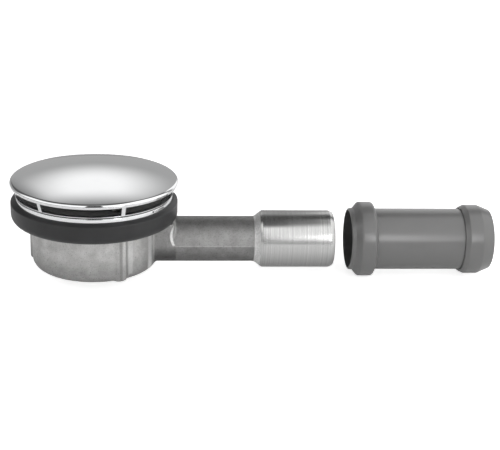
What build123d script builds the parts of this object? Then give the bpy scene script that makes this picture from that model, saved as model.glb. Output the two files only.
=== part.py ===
from build123d import *
import math
import os

# Shower trap for a 90 mm tray hole: cast body, rubber tray gasket, chromed flange ring, domed cover on a
# windowed cage, dip tube with hair strainer, and the push-fit coupling for the 40 mm outlet.
# The origin is the centre of the cup's flat underside, +Z is up and +X runs along the outlet.
# All sizes are millimetres.

# General fits and edges
slip = 0.1
paint_gap = 0.05
fine_round = 0.3
small_round = 0.5
edge_round = 0.8
through = 1.0

# Outlet pipe, cone and machined spigot
outlet_axis = 17.0
pipe_r = 15.8
pipe_wall = 3.0
pipe_flash = 0.25
pipe_flash_height = 0.7
cone_start = 110.4
cone_length = 5.6
cone_round = 2.0
spigot_r = 20.0
spigot_wall = 2.8
spigot_length = 50.0
spigot_nose = 1.4
nose_length = 2.6

# Cup of the cast body
cup_r = 43.3
cup_wall = 3.7
cup_floor = 4.0
cup_round = 6.0

# Tray gasket, a U of rubber around the body flange
gasket_reach = 13.8
gasket_r = cup_r + gasket_reach
gasket_wall = 2.9
gasket_hold = 3.3
gasket_bottom = 32.9
gasket_shoulder = 45.9
gasket_top = 47.5
gasket_round = 5.0
gasket_bevel = 2.9

# Upper flange and top plate of the cast body
body_flange_r = gasket_r - gasket_wall
body_flange_bottom = 36.0
body_top = 43.3
top_plate = 3.7

# Neck block that joins the cup to the pipe, with the weir inside
neck_half = pipe_r - paint_gap
neck_reach = 11.3
neck_end = cup_r + neck_reach
neck_corner = 3.6
neck_blend = 3.0
neck_wall = 3.3
weir_top = 31.0
weir_wall = 3.0
weir_inset = 10.3
weir_inner = cup_r - weir_inset
well_end_wall = 5.1
well_end = neck_end - well_end_wall

# Three screw bosses down the side of the cup
boss_count = 3
boss_turn = -63.9
boss_inset = 3.9
boss_orbit = cup_r - boss_inset
boss_r = 5.5
boss_foot = 0.8
short_boss_foot = 2.0
boss_foot_round = 1.4
flash_width = 1.7
flash_height = 0.4
flash_offset = 2.4
groove_width = 2.0
groove_offset = -0.9
groove_depth = 0.7

# Clamp screws
screw_r = 2.4
screw_length = 20.0
screw_hole_end = 2.0
head_r = 4.3
head_height = 2.8
drive_r = 1.6
drive_depth = 1.8

# Chromed flange ring
ring_inset = 3.5
ring_r = gasket_r - ring_inset
ring_thickness = 2.7
ring_taper = 0.1
hub_reach = 1.0
hub_r = cup_r + hub_reach
hub_drop = 2.9
hub_clear = 0.3
hub_width = 9.6
ring_bore = hub_r - hub_width
sink_depth = 0.5

# Domed cover
cover_overhang = 0.2
cover_r = gasket_r + cover_overhang
cover_rise = 7.4
cover_edge = 0.5
cover_wall = 2.0
cover_land = 2.3
cover_boss_r = 5.5
cover_screw_r = 2.0
cover_screw_head_r = 4.2
cover_screw_head = 2.2
cover_screw_round = 1.2
cover_screw_length = 6.0
cover_slot_width = 1.0
cover_slot_depth = 0.9
rib_count = 6
rib_width = 1.6
rib_inner = 14.0
rib_inset = 7.3
rib_outer = cover_r - rib_inset

# Cage that carries the cover
cage_inset = 0.2
cage_base_r = ring_r - cage_inset
cage_base_height = 1.5
cage_base_width = 3.2
skirt_inset = 0.2
skirt_draft = 0.3
skirt_top_r = cover_r - skirt_inset
skirt_bottom_r = skirt_top_r - skirt_draft
skirt_wall = 2.2
window_height = 6.2
skirt_height = 2.6
post_count = 6
post_turn = -67.5
post_width = 2.7
peg_r = 1.5
peg_length = 1.6
spider_arms = 3
arm_width = 7.0
arm_height = 2.0
spider_hub_r = 8.5

# Dip tube
seat_step = 2.3
dip_rim_clear = 0.4
seat_bore = ring_bore - seat_step
dip_rim_r = ring_bore - dip_rim_clear
dip_flare = 8.9
dip_r = seat_bore - dip_flare
dip_wall = 1.8
dip_clear = 2.6
dip_flare_start = 31.5
dip_flare_end = 38.6
dip_flare_round = 3.0
dip_rim_height = 1.6
oring_section = 2.0
oring_height = 41.0
grip_width = 3.0
grip_height = 6.0
grip_bottom = 26.0

# Hair strainer
strainer_inset = 3.1
strainer_r = dip_rim_r - strainer_inset
strainer_base = 1.8
strainer_step = 1.6
strainer_cup_r = strainer_r - strainer_step
strainer_cup_wall = 1.6
strainer_land = 3.3
strainer_bore = strainer_r - strainer_land
strainer_height = 10.4
strainer_slots = 24
slot_width = 2.6
slot_foot = 1.5
slot_height = 6.4
strainer_eye = 7.0

# Push-fit coupling
coupling_gap = 11.4
coupling_length = 100.0
pipe_fit = 0.15
coupling_bore = spigot_r + pipe_fit
coupling_wall = 1.3
coupling_r = coupling_bore + coupling_wall
lip_reach = 0.35
lip_r = coupling_r + lip_reach
lip_draft = 0.2
lip_length = 3.0
lip_round = 1.0
bead_reach = 4.65
bead_r = coupling_r + bead_reach
bead_start = 6.6
bead_end = 16.6
bead_shoulder = 1.4
bead_round = 2.2
bead_wall = 2.2
bead_groove_r = bead_r - bead_wall
groove_start = 6.4
groove_end = 14.0
groove_round = 0.6
stop_height = 1.75
stop_r = coupling_bore - stop_height
stop_width = 3.0

# Snap cap of the coupling
cap_reach = 2.85
cap_r = coupling_r + cap_reach
cap_length = 20.6
cap_front = 3.2
cap_front_edge = 0.9
cap_front_round = 1.8
cap_nose = 8.2
cap_nose_round = 3.0
cap_nose_drop = 2.9
cap_nose_r = cap_r - cap_nose_drop
cap_nose_length = 1.2
cap_nose_step = 0.5
cap_gap = 0.35
cap_end_wall = 2.4
cap_seal_length = 7.4

# Lip seals of the coupling
seal_lip = 0.9
seal_back = 1.4
seal_slope = 0.2
inlet_lip_root = 2.4
inlet_lip_tip = 2.0
outlet_lip_root = 3.4
outlet_lip_tip = 2.0


def turned(corners):
    """Solid turned about Z from (radius, height[, corner radius]) points."""
    points = [(c[0], 0, c[1]) for c in corners]
    rounds = [c[2] if len(c) > 2 else 0 for c in corners]
    outline = FilletPolyline(*points, radius=rounds, close=True)
    return revolve(make_face(outline), Axis.Z, 360)


def turned_on_outlet(corners):
    """Solid turned about the outlet's axis from (x, radius[, corner radius]) points."""
    points = [(c[0], 0, c[1]) for c in corners]
    rounds = [c[2] if len(c) > 2 else 0 for c in corners]
    outline = FilletPolyline(*points, radius=rounds, close=True)
    solid = revolve(make_face(outline), Axis.X, 360)
    return Pos(0, 0, outlet_axis) * solid


def pillar(radius, bottom, top):
    """Upright round bar on the Z axis."""
    return Pos(0, 0, bottom) * Cylinder(
        radius, top - bottom, align=(Align.CENTER, Align.CENTER, Align.MIN)
    )


def block(x0, x1, half_width, bottom, top):
    """Straight block about the XZ plane."""
    box = Box(x1 - x0, 2 * half_width, top - bottom, align=(Align.MIN, Align.CENTER, Align.MIN))
    return Pos(x0, 0, bottom) * box


def around(count, start):
    """Turns about Z, evenly spaced."""
    return [Rot(0, 0, start + 360 / count * i) for i in range(count)]


cavity_r = cup_r - cup_wall
cavity_top = body_top - top_plate
spigot_start = cone_start + cone_length
spigot_end = spigot_start + spigot_length
pipe_bore = pipe_r - pipe_wall
spigot_bore = spigot_r - spigot_wall
gasket_lip = body_flange_r - gasket_hold
gasket_bore = hub_r + hub_clear
ring_top = gasket_top + ring_thickness
hub_bottom = gasket_top - hub_drop
head_top = ring_top - sink_depth
cage_top = ring_top + cage_base_height
skirt_bottom = cage_top + window_height
rim_bottom = skirt_bottom + skirt_height
apex = rim_bottom + cover_rise
dip_bottom = cup_floor + dip_clear
dip_collar_r = seat_bore - slip
dip_rim_top = body_top + dip_rim_height
coupling_start = spigot_end + coupling_gap
coupling_end = coupling_start + coupling_length
sleeve_end = coupling_end - cap_end_wall - cap_seal_length


def neck_outside():
    """Straight-walled block over the pipe's round, up to the flange, with its upright end corners rounded."""
    start = cavity_r - cup_wall
    upper = block(start, neck_end, neck_half, outlet_axis, body_flange_bottom)
    corners = upper.faces().sort_by(Axis.X)[-1].edges().filter_by(Axis.Z)
    lower = turned_on_outlet([(start, 0), (start, pipe_r), (neck_end, pipe_r), (neck_end, 0)])
    return fillet(corners, neck_corner) + lower


def boss_columns():
    """Three screw columns down the side of the cup; the one away from the outlet stops short."""
    columns = []
    for i, turn in enumerate(around(boss_count, boss_turn)):
        foot = short_boss_foot if i == boss_count - 1 else boss_foot
        column = pillar(boss_r, foot, body_flange_bottom)
        column = fillet(column.edges().filter_by(GeomType.CIRCLE).sort_by(Axis.Z)[0], boss_foot_round)
        flash = Pos(boss_r, flash_offset, foot + boss_foot_round) * Box(
            2 * flash_height + boss_r, flash_width, body_flange_bottom - foot - boss_foot_round,
            align=(Align.MAX, Align.CENTER, Align.MIN),
        )
        groove = Pos(boss_r, groove_offset, foot) * Rot(0, 0, 45) * Box(
            groove_width, groove_width, 2 * body_flange_bottom
        )
        column = column + flash - Pos(groove_width / 2 - groove_depth, 0, 0) * groove
        columns.append(turn * Pos(boss_orbit, 0, 0) * column)
    return columns


def make_trap_body():
    """One casting: flange, cup, bosses, neck block with weir and well, pipe, cone and spigot."""
    cup = turned([
        (0, 0), (cup_r, 0, cup_round), (cup_r, body_flange_bottom), (0, body_flange_bottom),
    ])
    shell = cup + neck_outside()
    seam = [
        e for e in shell.edges().filter_by(Axis.Z)
        if abs(math.hypot(e.center().X, e.center().Y) - cup_r) < slip
    ]
    shell = fillet(seam, neck_blend)
    lip_pocket = turned([
        (gasket_lip - slip, gasket_bottom - slip), (body_flange_r + neck_end, gasket_bottom - slip),
        (body_flange_r + neck_end, body_top), (gasket_lip - slip, body_top),
    ])
    shell = shell - lip_pocket
    for column in boss_columns():
        shell = shell + column
    flange = turned([
        (0, body_flange_bottom), (body_flange_r, body_flange_bottom, edge_round),
        (body_flange_r, body_top, edge_round), (0, body_top),
    ])
    pipe = turned_on_outlet([
        (well_end, 0), (well_end, pipe_r), (cone_start, pipe_r, cone_round),
        (spigot_start, spigot_r), (spigot_end - nose_length, spigot_r, nose_length),
        (spigot_end, spigot_r - spigot_nose, small_round), (spigot_end, 0),
    ])
    parting = block(
        neck_end, cone_start, pipe_r + pipe_flash,
        outlet_axis - pipe_flash_height / 2, outlet_axis + pipe_flash_height / 2,
    )
    shell = shell + flange + pipe + parting
    cavity = pillar(cavity_r, cup_floor, cavity_top)
    well_half = neck_half - neck_wall
    weir = block(weir_inner, neck_end, well_half + weir_wall, 0, weir_top)
    inner_columns = [
        turn * Pos(boss_orbit, 0, 0) * pillar(boss_r, 0, body_top) for turn in around(boss_count, boss_turn)
    ]
    cavity = cavity - weir - inner_columns
    well_start = weir_inner + weir_wall
    well = block(well_start, well_end, well_half, outlet_axis, cavity_top) + turned_on_outlet([
        (well_start, 0), (well_start, pipe_bore), (well_end, pipe_bore), (well_end, 0),
    ])
    mouth = block(dip_r, weir_inner + 2 * weir_wall, well_half, weir_top, cavity_top)
    waterway = turned_on_outlet([
        (weir_inner + 2 * weir_wall, 0), (weir_inner + 2 * weir_wall, pipe_bore), (cone_start, pipe_bore),
        (spigot_start + cone_length, spigot_bore), (spigot_end + through, spigot_bore),
        (spigot_end + through, 0),
    ])
    shell = shell - cavity - well - mouth - waterway - pillar(seat_bore, cup_floor, body_top + through)
    hole_bottom = head_top - screw_length - screw_hole_end
    for turn in around(boss_count, boss_turn):
        shell = shell - turn * Pos(boss_orbit, 0, 0) * pillar(
            screw_r + paint_gap, hole_bottom, body_top + through
        )
    return shell


def make_tray_gasket():
    """U-section rubber ring that wraps the body flange and seals under the tray and the flange ring."""
    return turned([
        (gasket_lip, gasket_bottom, small_round), (gasket_r, gasket_bottom, gasket_round),
        (gasket_r, gasket_shoulder, edge_round), (gasket_r - gasket_bevel, gasket_top, small_round),
        (gasket_bore, gasket_top), (gasket_bore, body_top), (body_flange_r + slip, body_top),
        (body_flange_r + slip, body_flange_bottom), (gasket_lip, body_flange_bottom),
    ])


def make_flange_ring():
    """Chromed ring with a thick hub, three countersunk holes and three blind holes for the cage pegs."""
    ring = turned([
        (ring_bore, hub_bottom, small_round), (hub_r, hub_bottom, small_round), (hub_r, gasket_top),
        (ring_r, gasket_top, small_round), (ring_r - ring_taper, ring_top, small_round),
        (ring_bore, ring_top, small_round),
    ])
    for turn in around(boss_count, boss_turn):
        hole = pillar(screw_r + slip, hub_bottom - through, ring_top + through)
        sink = Pos(0, 0, head_top - head_height) * Cone(
            screw_r + slip, head_r + slip, head_height, align=(Align.CENTER, Align.CENTER, Align.MIN)
        )
        relief = pillar(head_r + slip, head_top, ring_top + through)
        ring = ring - turn * Pos(boss_orbit, 0, 0) * (hole + sink + relief)
    for turn in around(spider_arms, post_turn):
        ring = ring - turn * Pos(cage_base_r - cage_base_width / 2, 0, 0) * pillar(
            peg_r + slip, ring_top - peg_length - slip, ring_top + through
        )
    return ring


def make_clamp_screw(turn):
    """Countersunk machine screw with a six-sided socket."""
    screw = turned([
        (0, head_top), (head_r, head_top), (screw_r, head_top - head_height),
        (screw_r, head_top - screw_length, small_round), (0, head_top - screw_length),
    ])
    socket = Pos(0, 0, head_top - drive_depth) * extrude(RegularPolygon(drive_r, 6), drive_depth + through)
    return turn * Pos(boss_orbit, 0, 0) * (screw - socket)


def make_cover_cage():
    """Base ring, posts and skirt of the cover, with a three-armed spider for the cover screw."""
    wall = turned([
        (cage_base_r, ring_top, fine_round), (skirt_bottom_r, skirt_bottom),
        (skirt_top_r, rim_bottom, fine_round), (skirt_top_r - skirt_wall, rim_bottom),
        (skirt_bottom_r - skirt_wall, skirt_bottom), (cage_base_r - cage_base_width, cage_top),
        (cage_base_r - cage_base_width, ring_top, fine_round),
    ])
    post_bars = [
        turn * block(cage_base_r - 2 * cage_base_width, cover_r, post_width / 2, cage_top, skirt_bottom)
        for turn in around(post_count, post_turn)
    ]
    window = turned([
        (ring_bore, cage_top), (cover_r + through, cage_top), (cover_r + through, skirt_bottom),
        (ring_bore, skirt_bottom),
    ]) - post_bars
    cage = wall - window
    arm_bottom = rim_bottom - arm_height
    for turn in around(spider_arms, post_turn):
        cage = cage + turn * block(0, skirt_bottom_r - skirt_wall / 2, arm_width / 2, arm_bottom, rim_bottom)
        cage = cage + turn * Pos(cage_base_r - cage_base_width / 2, 0, 0) * pillar(
            peg_r, ring_top - peg_length, ring_top + cage_base_height / 2
        )
    cage = cage + pillar(spider_hub_r, arm_bottom, rim_bottom)
    return cage - pillar(cover_screw_r + slip, arm_bottom - through, rim_bottom + through)


def dome_face(radius, rise, land):
    """Half section under a shallow circular arc, from the axis out to the radius."""
    ball = (radius**2 + rise**2) / (2 * rise)
    half = radius / 2
    middle = rim_bottom + land + rise - ball + math.sqrt(ball**2 - half**2)
    top = rim_bottom + land + rise
    arc = ThreePointArc((0, 0, top), (half, 0, middle), (radius, 0, rim_bottom + land))
    sides = Polyline((radius, 0, rim_bottom + land), (radius, 0, rim_bottom), (0, 0, rim_bottom), (0, 0, top))
    return make_face(arc + sides)


def make_dome_cover():
    """Shallow polished dome with a rounded rim, a centre boss and radial ribs underneath."""
    outside = dome_face(cover_r, cover_rise - cover_edge, cover_edge)
    rim = outside.vertices().sort_by(Axis.X)[-2:].sort_by(Axis.Z)
    outside = fillet(rim[-1], cover_edge - paint_gap)
    inside = dome_face(cover_r - cover_land, cover_rise - cover_wall, slip)
    solid = revolve(outside, Axis.Z, 360)
    hollow = revolve(inside, Axis.Z, 360)
    ribs = [
        turn * block(rib_inner, rib_outer, rib_width / 2, rim_bottom + slip, apex)
        for turn in around(rib_count, post_turn + 180 / rib_count)
    ]
    boss = pillar(cover_boss_r, rim_bottom, apex)
    hollow = hollow - ribs - boss
    cover = solid - hollow
    hole_top = apex - cover_wall - through
    return cover - pillar(cover_screw_r + paint_gap, rim_bottom - through, hole_top)


def make_cover_screw():
    """Pan-head screw that holds the cover to the cage's spider from below."""
    head_bottom = rim_bottom - arm_height - cover_screw_head
    shoulder = head_bottom + cover_screw_head
    tip = shoulder + cover_screw_length
    screw = turned([
        (0, head_bottom), (cover_screw_head_r, head_bottom, cover_screw_round),
        (cover_screw_head_r, shoulder), (cover_screw_r, shoulder), (cover_screw_r, tip, small_round), (0, tip),
    ])
    slot = Box(2 * cover_screw_head_r + through, cover_slot_width, 2 * cover_slot_depth)
    return screw - Pos(0, 0, head_bottom) * slot


def make_dip_tube():
    """Black plastic funnel and tube that holds the water seal, with a cross bar to pull it out by."""
    groove_r = dip_collar_r - oring_section + slip
    groove_half = oring_section / 2 + slip
    tube = turned([
        (dip_r - dip_wall, dip_bottom), (dip_r, dip_bottom, small_round),
        (dip_r, dip_flare_start, dip_flare_round), (dip_collar_r, dip_flare_end, small_round),
        (dip_collar_r, oring_height - groove_half), (groove_r, oring_height - groove_half),
        (groove_r, oring_height + groove_half), (dip_collar_r, oring_height + groove_half),
        (dip_collar_r, body_top), (dip_rim_r, body_top), (dip_rim_r, dip_rim_top, fine_round),
        (strainer_r + slip, dip_rim_top), (strainer_r + slip, dip_rim_top - strainer_base),
        (strainer_bore, dip_rim_top - strainer_base), (strainer_bore, dip_flare_end, edge_round),
        (dip_r - dip_wall, dip_flare_start, dip_flare_round - through),
    ])
    bar = block(-dip_r, dip_r, grip_width / 2, grip_bottom, grip_bottom + grip_height)
    bar = bar & pillar(dip_r - dip_wall / 2, dip_bottom, dip_rim_top)
    return tube + bar


def make_dip_tube_oring():
    """Round-section ring in the dip tube's groove."""
    middle = seat_bore - oring_section / 2
    ring = Torus(middle, oring_section / 2 - paint_gap)
    return Pos(0, 0, oring_height) * ring


def make_hair_strainer():
    """Black plastic strainer: a base ring in the dip tube's rim and a slotted cup over it."""
    base = dip_rim_top - strainer_base
    top = dip_rim_top + strainer_height
    inside = strainer_cup_r - strainer_cup_wall
    body = turned([
        (strainer_bore, base), (strainer_r, base), (strainer_r, dip_rim_top, fine_round),
        (strainer_cup_r, dip_rim_top), (strainer_cup_r, top, edge_round), (0, top),
        (0, top - strainer_cup_wall), (inside, top - strainer_cup_wall, small_round),
        (inside, base + strainer_cup_wall), (strainer_bore, base + strainer_cup_wall),
    ])
    slot_bottom = dip_rim_top + slot_foot
    for turn in around(strainer_slots, 180 / strainer_slots):
        body = body - turn * block(
            inside - strainer_cup_wall, strainer_cup_r + through, slot_width / 2,
            slot_bottom, slot_bottom + slot_height,
        )
    return body - pillar(strainer_eye, top - strainer_cup_wall - through, top + through)


def make_pipe_coupling():
    """Grey push-fit sleeve with one moulded bead; its other end carries the snap cap."""
    start = coupling_start
    stop_start = start + coupling_length / 2 - stop_width / 2
    stop_end = stop_start + stop_width
    return turned_on_outlet([
        (start, coupling_bore), (start, lip_r - lip_draft, lip_round), (start + lip_length, lip_r, lip_round),
        (start + bead_start, bead_r, bead_round), (start + bead_end, bead_r, bead_round),
        (start + bead_end + bead_shoulder, coupling_r, edge_round), (sleeve_end, coupling_r, fine_round),
        (sleeve_end, coupling_bore),
        (stop_end, coupling_bore), (stop_end, stop_r, fine_round),
        (stop_start, stop_r, fine_round), (stop_start, coupling_bore),
        (start + groove_end, coupling_bore), (start + groove_end, bead_groove_r, groove_round),
        (start + groove_start, bead_groove_r, groove_round), (start + groove_start, coupling_bore),
    ])


def make_coupling_cap():
    """Snap cap that holds the outlet-side lip seal on the sleeve's plain end."""
    end = coupling_end
    start = end - cap_length
    inner_r = coupling_r + cap_gap
    return turned_on_outlet([
        (start, inner_r), (start, inner_r + cap_front_edge, fine_round),
        (start + cap_front, cap_r, cap_front_round), (end - cap_nose, cap_r, cap_nose_round),
        (end - cap_nose_length, cap_nose_r, edge_round), (end, cap_nose_r - cap_nose_step, fine_round),
        (end, coupling_bore), (end - cap_end_wall, coupling_bore), (end - cap_end_wall, inner_r),
    ])


def make_inlet_seal():
    """Rubber lip ring in the moulded bead, its lip leaning inward, clear of the pipe's path."""
    back = coupling_start + groove_start + slip
    front = coupling_start + groove_end - slip
    rim = bead_groove_r - slip
    return turned_on_outlet([
        (back, coupling_bore + slip), (back, rim, small_round), (front, rim, small_round),
        (front, rim - seal_back), (back + inlet_lip_root, rim - seal_back - seal_slope),
        (front - inlet_lip_tip, coupling_bore + seal_lip), (front - inlet_lip_root, coupling_bore + slip),
    ])


def make_outlet_seal():
    """Rubber lip ring held between the sleeve's end and the snap cap."""
    back = sleeve_end + slip
    front = coupling_end - cap_end_wall - slip
    rim = coupling_r + cap_gap - slip
    return turned_on_outlet([
        (front, coupling_bore + slip), (front, rim, fine_round), (back, rim, fine_round),
        (back, rim - seal_lip), (back + outlet_lip_root, rim - seal_lip),
        (back + outlet_lip_tip, coupling_bore + slip),
    ])


pieces = {
    "trap_body": make_trap_body(),
    "tray_gasket": make_tray_gasket(),
    "flange_ring": make_flange_ring(),
    "cover_cage": make_cover_cage(),
    "dome_cover": make_dome_cover(),
    "cover_screw": make_cover_screw(),
    "dip_tube": make_dip_tube(),
    "dip_tube_oring": make_dip_tube_oring(),
    "hair_strainer": make_hair_strainer(),
    "pipe_coupling": make_pipe_coupling(),
    "coupling_cap": make_coupling_cap(),
    "inlet_lip_seal": make_inlet_seal(),
    "outlet_lip_seal": make_outlet_seal(),
}
for number, turn in enumerate(around(boss_count, boss_turn), start=1):
    pieces[f"clamp_screw_{number}"] = make_clamp_screw(turn)

os.makedirs("parts", exist_ok=True)
for name, piece in pieces.items():
    export_step(piece, f"parts/{name}.step")
    print(name, round(piece.volume), "mm3")
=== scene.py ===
import bpy
import bmesh
import math
import numpy as np
from mathutils import Matrix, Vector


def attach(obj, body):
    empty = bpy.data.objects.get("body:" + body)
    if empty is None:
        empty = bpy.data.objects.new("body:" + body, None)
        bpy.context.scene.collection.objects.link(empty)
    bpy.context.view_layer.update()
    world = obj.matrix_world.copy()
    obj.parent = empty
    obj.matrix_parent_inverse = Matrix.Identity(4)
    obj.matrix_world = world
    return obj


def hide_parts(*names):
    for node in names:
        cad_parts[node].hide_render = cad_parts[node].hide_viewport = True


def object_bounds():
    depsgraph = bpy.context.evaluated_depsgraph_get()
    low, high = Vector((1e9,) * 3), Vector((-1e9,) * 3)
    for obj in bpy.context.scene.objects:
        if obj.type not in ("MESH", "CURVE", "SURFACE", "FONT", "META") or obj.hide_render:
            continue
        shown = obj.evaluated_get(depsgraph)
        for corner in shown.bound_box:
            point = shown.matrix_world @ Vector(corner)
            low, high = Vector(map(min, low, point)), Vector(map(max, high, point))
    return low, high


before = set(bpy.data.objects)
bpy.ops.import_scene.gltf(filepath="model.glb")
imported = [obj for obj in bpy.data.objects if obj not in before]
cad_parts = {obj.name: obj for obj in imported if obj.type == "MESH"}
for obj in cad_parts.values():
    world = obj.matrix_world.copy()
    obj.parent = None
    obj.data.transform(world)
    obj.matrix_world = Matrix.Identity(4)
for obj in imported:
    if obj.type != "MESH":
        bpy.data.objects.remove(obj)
cadBounds = [list(corner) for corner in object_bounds()]
mm = 0.001
floorDrop = cadBounds[0][2]        # the coupling's bead is the lowest thing
outletAxis = 17.0                  # height of the pipe's middle line, in mm
crispEdge = 0.1                    # smallest edge radius, in mm
brokenEdge = 0.3                   # usual edge radius of a turned or moulded piece, in mm
fineArc = 8                        # faces round each edge of the larger profiles
sharpAngle = 32                    # edges that turn by more degrees than this stay sharp
mergeDistance = 1e-6               # points closer than this are one, in metres
print("frame loaded with", len(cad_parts), "nodes")


# Shared mesh parts

def roundedProfile(corners, steps=6):
    # each corner (a, b, radius) becomes the arc that touches both of its straight sides at that radius
    out = []
    count = len(corners)
    for index, corner in enumerate(corners):
        here = np.array(corner[:2], float)
        radius = corner[2] if len(corner) > 2 else 0
        if not radius:
            out.append(here[None, :])
            continue
        before = np.array(corners[index - 1][:2], float) - here
        after = np.array(corners[(index + 1) % count][:2], float) - here
        before /= np.linalg.norm(before)
        after /= np.linalg.norm(after)
        half = math.acos(float(np.clip(before @ after, -1, 1))) / 2
        reach = radius / math.tan(half)
        middle = here + (before + after) / np.linalg.norm(before + after) * radius / math.sin(half)
        first = here + before * reach - middle
        last = here + after * reach - middle
        share = np.linspace(0, 1, steps + 1)[:, None]
        sweep = math.acos(float(np.clip(first @ last / radius**2, -1, 1)))
        arc = (np.sin((1 - share) * sweep) * first + np.sin(share * sweep) * last) / math.sin(sweep)
        out.append(middle + arc)
    return np.vstack(out)


def gridFaces(rows, columns, closeRows, closeColumns):
    # four-sided faces between neighbouring grid points, with the wanted edges joined round
    row = np.arange(rows if closeRows else rows - 1)
    column = np.arange(columns if closeColumns else columns - 1)
    r, c = np.meshgrid(row, column, indexing="ij")
    rowEnd, columnEnd = (r + 1) % rows, (c + 1) % columns
    corners = (r * columns + c, r * columns + columnEnd, rowEnd * columns + columnEnd, rowEnd * columns + c)
    return np.stack(corners, -1).reshape(-1, 4)


def meshFromArrays(name, points, faces):
    mesh = bpy.data.meshes.new(name)
    mesh.vertices.add(len(points))
    mesh.vertices.foreach_set("co", (np.asarray(points) * mm).ravel())
    mesh.loops.add(faces.size)
    mesh.loops.foreach_set("vertex_index", faces.ravel())
    mesh.polygons.add(len(faces))
    mesh.polygons.foreach_set("loop_start", np.arange(0, faces.size, faces.shape[1]))
    mesh.update(calc_edges=True)
    mesh.validate()
    return mesh


def turnedGrid(profile, segments, about):
    # every profile point (radius, height) goes round in a full circle: (radius cos, radius sin, height);
    # about the outlet the points are (along, radius) and the circle stands across the X axis
    angle = np.linspace(0, 2 * math.pi, segments, endpoint=False)
    if about == "upright":
        radius, height = profile[:, 0, None], profile[:, 1, None]
        flat = [radius * np.cos(angle), radius * np.sin(angle), height + 0 * angle]
    else:
        along, radius = profile[:, 0, None], profile[:, 1, None]
        flat = [along + 0 * angle, radius * np.sin(angle), outletAxis + radius * np.cos(angle)]
    return np.stack(flat, -1).reshape(-1, 3), gridFaces(len(profile), segments, True, True)


def turnAbout(points, degrees):
    c, s = math.cos(math.radians(degrees)), math.sin(math.radians(degrees))
    return points @ np.array([[c, s, 0], [-s, c, 0], [0, 0, 1]])


def radialBar(width, lower, upper, degrees):
    # closed six-sided bar that points away from the middle; lower and upper each hold the (radius, height)
    # of their inner and their outer end
    points = []
    for inner, outer in (lower, upper):
        for (radius, height), side in ((inner, -1), (outer, -1), (outer, 1), (inner, 1)):
            points.append((radius, side * width / 2, height))
    faces = np.array([(3, 2, 1, 0), (4, 5, 6, 7), (0, 1, 5, 4), (1, 2, 6, 5), (2, 3, 7, 6), (3, 0, 4, 7)])
    return turnAbout(np.array(points, float), degrees), faces


def joinParts(parts):
    points, faces, start = [], [], 0
    for partPoints, partFaces in parts:
        points.append(partPoints)
        faces.append(partFaces + start)
        start += len(partPoints)
    return np.vstack(points), np.vstack(faces)


def finishMesh(mesh, sharpDegrees=sharpAngle):
    # doubles merged at poles, faces turned outwards, smooth except over the sharp angle
    work = bmesh.new()
    work.from_mesh(mesh)
    bmesh.ops.remove_doubles(work, verts=work.verts, dist=mergeDistance)
    bmesh.ops.dissolve_degenerate(work, edges=work.edges, dist=mergeDistance / 10)
    bmesh.ops.recalc_face_normals(work, faces=work.faces)
    work.to_mesh(mesh)
    work.free()
    mesh.shade_smooth()
    mesh.set_sharp_from_angle(angle=math.radians(sharpDegrees))


def placeObject(name, data):
    thing = bpy.data.objects.new(name, data)
    bpy.context.scene.collection.objects.link(thing)
    return thing


def addPiece(name, mesh, material, nodes):
    piece = placeObject(name, mesh)
    mesh.materials.clear()
    mesh.materials.append(material)
    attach(piece, "root")
    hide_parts(*nodes)
    return piece


def addTurned(name, profile, segments, about, material, node, sharpDegrees=sharpAngle):
    mesh = meshFromArrays(name, *turnedGrid(profile, segments, about))
    finishMesh(mesh, sharpDegrees)
    return addPiece(name, mesh, material, [node])


def reachOf(points):
    return np.hypot(points[:, 0], points[:, 1])


def dullFaces(mesh, choose):
    # the faces that choose(middle, normal) picks, both in whole arrays, take the second material
    count = len(mesh.polygons)
    middle, normal = np.empty(count * 3), np.empty(count * 3)
    mesh.polygons.foreach_get("center", middle)
    mesh.polygons.foreach_get("normal", normal)
    chosen = choose(middle.reshape(-1, 3) / mm, normal.reshape(-1, 3))
    mesh.materials.append(dullInside)
    mesh.polygons.foreach_set("material_index", chosen.astype(np.int32))
    mesh.update()


def bakeModifiers(piece):
    # the piece keeps what its modifiers make, as plain mesh
    graph = bpy.context.evaluated_depsgraph_get()
    made = bpy.data.meshes.new_from_object(piece.evaluated_get(graph), depsgraph=graph)
    piece.modifiers.clear()
    old = piece.data
    piece.data = made
    bpy.data.meshes.remove(old)


# Shared shader parts

def feed(tree, value, socket):
    # a number or a colour is set on the socket, and another node's output is linked to it
    if isinstance(value, bpy.types.NodeSocket):
        tree.links.new(value, socket)
    elif isinstance(value, tuple):
        socket.default_value = (*value, 1) if socket.type == "RGBA" else value
    else:
        socket.default_value = value


def mathNode(tree, operation, *values):
    node = tree.nodes.new("ShaderNodeMath")
    node.operation = operation
    for value, socket in zip(values, node.inputs):
        feed(tree, value, socket)
    return node.outputs[0]


def product(tree, first, *others):
    for other in others:
        first = mathNode(tree, "MULTIPLY", first, other)
    return first


def noiseNode(tree, vector, scale, detail, roughness):
    node = tree.nodes.new("ShaderNodeTexNoise")
    for name, value in (("Vector", vector), ("Scale", scale), ("Detail", detail), ("Roughness", roughness)):
        feed(tree, value, node.inputs[name])
    return node.outputs["Fac"]


def mixColour(tree, factor, first, second):
    node = tree.nodes.new("ShaderNodeMix")
    node.data_type = "RGBA"
    for slotIndex, value in ((0, factor), (6, first), (7, second)):
        feed(tree, value, node.inputs[slotIndex])
    return node.outputs[2]


def timesColour(tree, first, second):
    node = tree.nodes.new("ShaderNodeVectorMath")
    node.operation = "MULTIPLY"
    feed(tree, first, node.inputs[0])
    feed(tree, second, node.inputs[1])
    return node.outputs[0]


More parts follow.
